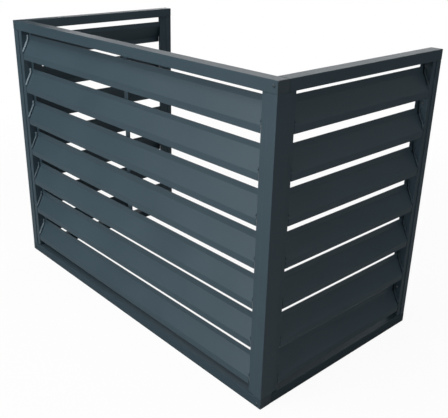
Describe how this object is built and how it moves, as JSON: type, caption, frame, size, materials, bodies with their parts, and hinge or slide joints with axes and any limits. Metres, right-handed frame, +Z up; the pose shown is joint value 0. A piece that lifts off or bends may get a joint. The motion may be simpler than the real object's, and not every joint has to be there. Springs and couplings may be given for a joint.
{
  "type": "air conditioner screen",
  "caption": "Louvred metal screen in a U of front and side panels, open at the back and top, that hides the outdoor unit of an air conditioner.",
  "frame": {"origin": "on the ground, in the middle of the screen's width and depth", "axes": "+X to the right seen from the front, +Y from the front panel to the open back, +Z up"},
  "size_m": [1.01, 0.5436, 0.7135],
  "materials": {
    "frame": "anthracite powder coat, satin",
    "holder": "anthracite powder coat, satin",
    "slat": "anthracite powder coat, satin",
    "cap": "matt anthracite moulding",
    "screw": "dark plating"
  },
  "bodies": {
    "root": {"corner_screw_bottom_left": "screw", "corner_screw_bottom_right": "screw", "corner_screw_top_left": "screw", "corner_screw_top_right": "screw", "front_bottom_rail": "frame", "front_bottom_rail_cap_left": "cap", "front_bottom_rail_cap_right": "cap", "front_centre_stiffener": "frame", "front_left_corner_post": "frame", "front_left_slat_holder": "holder", "front_right_corner_post": "frame", "front_right_slat_holder": "holder", "front_slat_1": "slat", "front_slat_2": "slat", "front_slat_3": "slat", "front_slat_4": "slat", "front_slat_5": "slat", "front_slat_6": "slat", "front_slat_7": "slat", "front_top_rail": "frame", "front_top_rail_cap_left": "cap", "front_top_rail_cap_right": "cap", "left_bottom_rail": "frame", "left_bottom_rail_cap_front": "cap", "left_bottom_rail_cap_rear": "cap", "left_front_slat_holder": "holder", "left_rear_post": "frame", "left_rear_slat_holder": "holder", "left_slat_1": "slat", "left_slat_2": "slat", "left_slat_3": "slat", "left_slat_4": "slat", "left_slat_5": "slat", "left_slat_6": "slat", "left_slat_7": "slat", "left_top_rail": "frame", "left_top_rail_cap_front": "cap", "left_top_rail_cap_rear": "cap", "right_bottom_rail": "frame", "right_bottom_rail_cap_front": "cap", "right_bottom_rail_cap_rear": "cap", "right_front_slat_holder": "holder", "right_rear_post": "frame", "right_rear_slat_holder": "holder", "right_slat_1": "slat", "right_slat_2": "slat", "right_slat_3": "slat", "right_slat_4": "slat", "right_slat_5": "slat", "right_slat_6": "slat", "right_slat_7": "slat", "right_top_rail": "frame", "right_top_rail_cap_front": "cap", "right_top_rail_cap_rear": "cap"}
  },
  "joints": []
}
